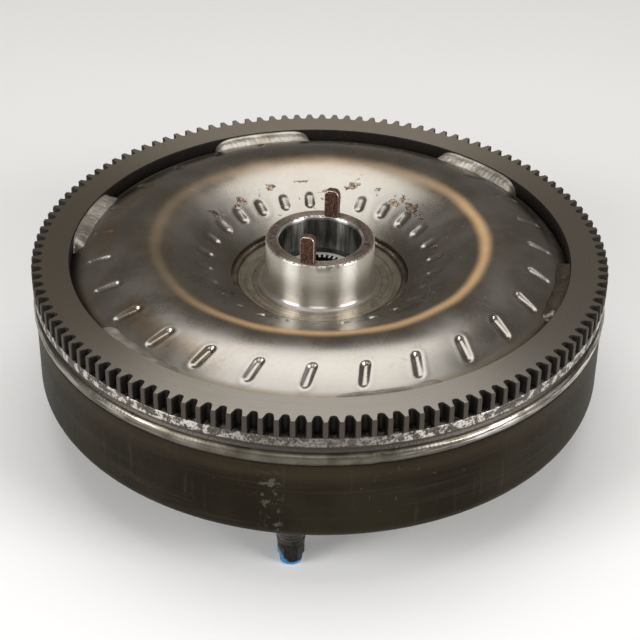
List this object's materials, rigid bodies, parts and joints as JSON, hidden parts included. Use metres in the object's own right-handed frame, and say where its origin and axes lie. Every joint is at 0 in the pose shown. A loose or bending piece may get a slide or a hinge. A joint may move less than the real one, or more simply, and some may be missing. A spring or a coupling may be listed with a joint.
{
  "type": "torque converter",
  "caption": "Welded automatic-gearbox torque converter with starter ring gear, pump hub with two tangs, drive lugs, vaned impeller, turbine, stator and lock-up clutch inside.",
  "frame": {"origin": "on the turning axis, in the plane of the drive lugs' end faces", "axes": "+Z along the turning axis from the engine side to the gearbox side; one ring-gear tooth is centred on +X"},
  "size_m": [0.3226, 0.3226, 0.1288],
  "materials": {
    "bearing_steel": "polished",
    "blue_nylon": "matte",
    "bronze_shell_steel": "polished",
    "bronze_washer": "plain",
    "cage_polymer": "moulded",
    "cast_aluminium": "cast",
    "dark_cover_steel": "semi-matte oiled",
    "friction_paper": "fibrous",
    "gear_steel": "satin",
    "ground_hub_steel": "ground",
    "lug_steel": "dark",
    "pressed_steel": "pressed",
    "spring_steel": "wound",
    "weld_bead": "rippled"
  },
  "bodies": {
    "housing": {"front_cover": "dark_cover_steel", "crank_pilot": "lug_steel", "crank_pilot_weld": "weld_bead", "drive_lugs": "lug_steel", "lug_weld_bases": "weld_bead", "lug_locking_rings": "blue_nylon", "closure_weld": "weld_bead", "ring_gear": "gear_steel", "ring_gear_welds": "weld_bead", "impeller_shell": "bronze_shell_steel", "impeller_blades": "pressed_steel", "impeller_core_ring": "pressed_steel", "pump_hub": "ground_hub_steel", "hub_weld": "weld_bead", "front_thrust_washer": "bronze_washer", "pump_bearing_race_upper": "bearing_steel"},
    "turbine": {"turbine_shell": "pressed_steel", "turbine_blades": "pressed_steel", "turbine_core_ring": "pressed_steel", "turbine_hub": "ground_hub_steel", "turbine_rivets": "lug_steel", "driven_plate": "pressed_steel", "piston_seal_ring": "cage_polymer", "turbine_bearing_race_lower": "bearing_steel"},
    "damper": {"spring_retainer": "pressed_steel", "damper_springs": "spring_steel"},
    "lockup": {"lockup_piston": "pressed_steel", "friction_lining": "friction_paper"},
    "stator": {"stator_wheel": "cast_aluminium", "clutch_outer_race": "bearing_steel", "clutch_rollers": "bearing_steel", "clutch_springs": "spring_steel", "clutch_plate_lower": "pressed_steel", "clutch_plate_upper": "pressed_steel", "stator_snap_ring": "spring_steel", "pump_bearing_race_lower": "bearing_steel", "turbine_bearing_race_upper": "bearing_steel"},
    "inner_race": {"stator_inner_race": "bearing_steel"},
    "pump_bearing": {"pump_bearing_cage": "cage_polymer", "pump_bearing_rollers": "bearing_steel"},
    "turbine_bearing": {"turbine_bearing_cage": "cage_polymer", "turbine_bearing_rollers": "bearing_steel"}
  },
  "joints": [
    {"name": "turbine_spin", "type": "hinge", "parent": "housing", "child": "turbine", "pos_m": [0, 0, 0.05], "axis": [0, 0, 1], "continuous": true},
    {"name": "damper_twist", "type": "hinge", "parent": "turbine", "child": "damper", "pos_m": [0, 0, 0.0476], "axis": [0, 0, 1], "range_deg": [-4, 4], "stiffness_Nm_per_rad": 900, "deforming": ["damper_springs"]},
    {"name": "piston_slide", "type": "slide", "parent": "damper", "child": "lockup", "axis": [0, 0, -1], "range_m": [0, 0.0006]},
    {"name": "stator_spin", "type": "hinge", "parent": "housing", "child": "stator", "pos_m": [0, 0, 0.07], "axis": [0, 0, 1], "continuous": true},
    {"name": "stator_freewheel", "type": "hinge", "parent": "stator", "child": "inner_race", "pos_m": [0, 0, 0.07], "axis": [0, 0, 1], "continuous": true},
    {"name": "pump_bearing_spin", "type": "hinge", "parent": "housing", "child": "pump_bearing", "pos_m": [0, 0, 0.0773], "axis": [0, 0, 1], "continuous": true},
    {"name": "turbine_bearing_spin", "type": "hinge", "parent": "turbine", "child": "turbine_bearing", "pos_m": [0, 0, 0.0593], "axis": [0, 0, 1], "continuous": true}
  ],
  "couplings": [
    {"joint": "pump_bearing_spin", "follows": "stator_spin", "ratio": 0.5},
    {"joint": "turbine_bearing_spin", "follows": "turbine_spin", "ratio": -0.5}
  ]
}
